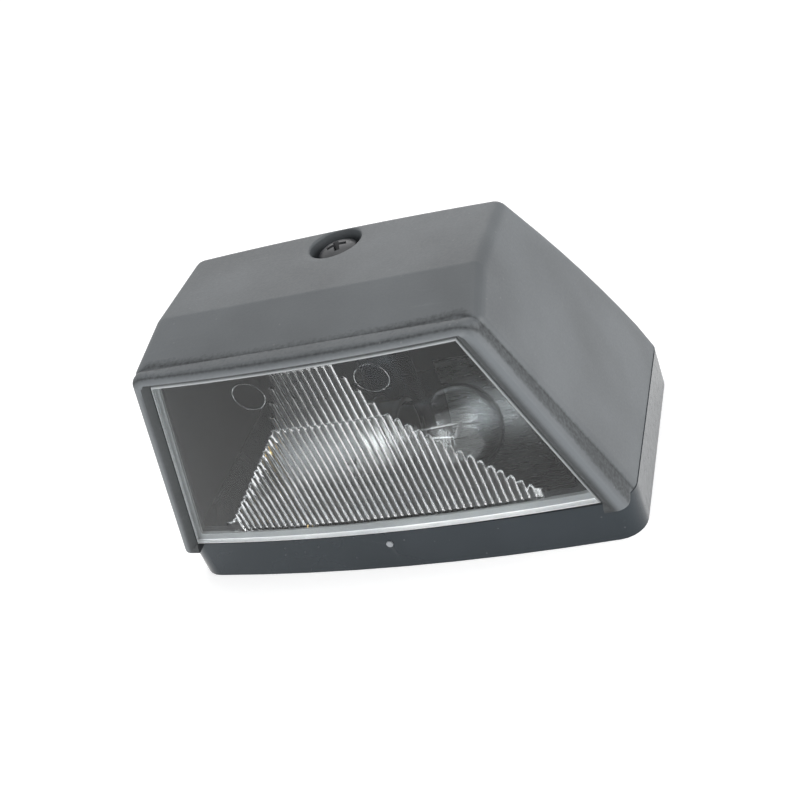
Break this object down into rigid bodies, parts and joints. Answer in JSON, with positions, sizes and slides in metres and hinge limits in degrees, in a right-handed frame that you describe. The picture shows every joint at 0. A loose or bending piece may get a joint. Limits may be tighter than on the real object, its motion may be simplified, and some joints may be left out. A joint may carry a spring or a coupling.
{
  "type": "number plate lamp",
  "caption": "Wedge-shaped screw-on vehicle lamp: black cover with a fluted clear lens in a raised collar, a bayonet bulb inside, on a flat bowed base with a rear cable inlet.",
  "frame": {"origin": "middle of the flat mounting face, between the lamp's two ends and between the base's front and back edges", "axes": "+Z out of the mounting face towards the cover's top, -Y towards the lens side, +Y towards the cable inlet and the sloping back, X along the lamp"},
  "size_m": [0.1, 0.0665, 0.0615],
  "materials": {
    "black_gloss": "moulded black plastic, glossy",
    "black_matt": "moulded black plastic with a fine matt grain",
    "clear_lens": "clear moulded plastic lens, polished, with flutes on its inner side",
    "rubber": "soft black rubber",
    "seal_grey": "cured grey adhesive seal",
    "screw_black": "black coated steel screw",
    "brass": "plain turned or stamped brass",
    "bright_sheet": "pressed sheet, brightened",
    "bulb_glass": "thin clear blown glass",
    "nickel": "nickel plated",
    "steel_wire": "drawn bright wire",
    "insulator_black": "black glassy insulator",
    "solder": "soldered tip",
    "zinc_sheet": "zinc plated sheet steel",
    "fibre": "brown pressed insulating board"
  },
  "bodies": {
    "root": {"base_plate": "black_gloss", "mounting_gasket": "rubber", "cover_seal": "rubber", "cover": "black_matt", "lens": "clear_lens", "lens_seal": "seal_grey", "cover_screw": "screw_black", "screw_ring": "rubber", "screw_insert": "brass", "reflector": "bright_sheet", "bulb_glass": "bulb_glass", "bulb_cap": "nickel", "bulb_pins": "nickel", "bulb_filament": "steel_wire", "bulb_leads": "steel_wire", "bulb_stem": "bulb_glass", "bulb_insulator": "insulator_black", "bulb_contact": "solder", "socket_shell": "zinc_sheet", "socket_bracket": "zinc_sheet", "socket_insulator": "fibre", "centre_contact": "brass", "contact_spring": "steel_wire", "supply_strip": "brass", "rivets": "steel_wire", "cable_grommet": "rubber"}
  },
  "joints": []
}
